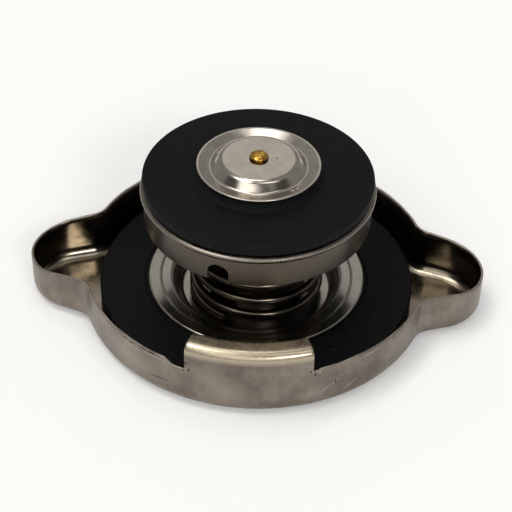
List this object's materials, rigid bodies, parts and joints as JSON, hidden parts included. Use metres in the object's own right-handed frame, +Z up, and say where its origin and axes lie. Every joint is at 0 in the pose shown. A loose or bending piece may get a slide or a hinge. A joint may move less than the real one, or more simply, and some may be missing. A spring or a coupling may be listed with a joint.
{
  "type": "radiator cap",
  "caption": "Steel radiator cap with two finger ears, bayonet tabs, a rubber neck seal and a spring-loaded pressure valve with a vacuum valve in it",
  "frame": {"origin": "centre of the crown's resting plane, bottom of the box", "axes": "+Z up out of the cap towards the valve, +X towards one finger ear, +Y towards one bayonet tab"},
  "size_m": [0.0832, 0.0636, 0.0323],
  "materials": {
    "shell_steel": "nickel plated pressed steel with fine scuffs and small pits along its sheared edges",
    "stainless": "polished thin stainless sheet with turning marks",
    "spring_steel": "drawn spring wire",
    "rubber": "dull black moulded rubber",
    "brass": "bright turned brass"
  },
  "bodies": {
    "shell": {"cap_shell": "shell_steel"},
    "carrier": {"crown_rivet": "shell_steel", "guide_bell": "stainless", "main_spring": "spring_steel", "neck_seal_ring": "rubber", "spring_seat_disc": "stainless"},
    "pressure_valve": {"valve_cup": "stainless", "valve_gasket": "rubber", "spring_plate": "stainless", "vacuum_spring": "spring_steel"},
    "vacuum_valve": {"vacuum_dish": "stainless", "vacuum_stem": "brass", "vacuum_retainer": "brass"}
  },
  "joints": [
    {"name": "shell_swivel", "type": "hinge", "parent": "shell", "child": "carrier", "pos_m": [0, 0, 0], "axis": [0, 0, 1], "continuous": true},
    {"name": "pressure_slide", "type": "slide", "parent": "carrier", "child": "pressure_valve", "axis": [0, 0, -1], "range_m": [0, 0.006], "stiffness_N_per_m": 940, "springref_m": -0.014, "deforming": ["main_spring"]},
    {"name": "vacuum_slide", "type": "slide", "parent": "pressure_valve", "child": "vacuum_valve", "axis": [0, 0, 1], "range_m": [0, 0.002], "stiffness_N_per_m": 370, "springref_m": -0.003, "deforming": ["vacuum_spring"]}
  ]
}
